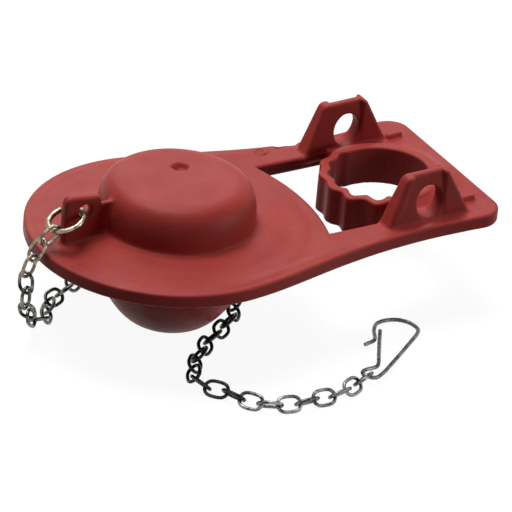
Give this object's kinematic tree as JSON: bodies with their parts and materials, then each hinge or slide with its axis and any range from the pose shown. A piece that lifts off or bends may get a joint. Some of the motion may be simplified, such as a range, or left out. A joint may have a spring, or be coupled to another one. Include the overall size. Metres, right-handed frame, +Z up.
{
  "type": "toilet flapper",
  "caption": "Rubber toilet flapper with a float bulb, an open frame with pivot ears and an overflow tube collar, and a lift chain with a wire hook.",
  "frame": {"origin": "middle of the bulb's flat foot, on the surface that the part lies on", "axes": "+Z up from the bulb through the dome, +X from the bulb towards the pivot ears, +Y across the frame"},
  "size_m": [0.144, 0.1055, 0.0462],
  "materials": {
    "rubber": "satin",
    "brass": "polished",
    "steel": "polished"
  },
  "bodies": {
    "root": {"flapper_body": "rubber", "chain_ring": "brass", "link_01": "brass", "link_02": "brass", "link_03": "brass", "link_04": "steel", "link_05": "steel", "link_06": "steel", "link_07": "steel", "link_08": "steel", "link_09": "steel", "link_10": "steel", "link_11": "steel", "link_12": "steel", "link_13": "steel", "link_14": "steel", "link_15": "steel", "link_16": "steel", "link_17": "steel", "link_18": "steel", "link_19": "steel", "link_20": "steel", "link_21": "steel", "link_22": "steel", "link_23": "steel", "link_24": "steel", "link_25": "steel", "link_26": "steel", "link_27": "steel", "link_28": "steel", "link_29": "steel", "link_30": "steel", "link_31": "steel", "link_32": "steel", "link_33": "steel", "link_34": "steel", "link_35": "steel", "link_36": "steel", "link_37": "steel", "link_38": "steel", "link_39": "steel", "link_40": "steel", "link_41": "steel", "link_42": "steel", "link_43": "steel", "link_44": "steel", "chain_hook": "steel"}
  },
  "joints": []
}
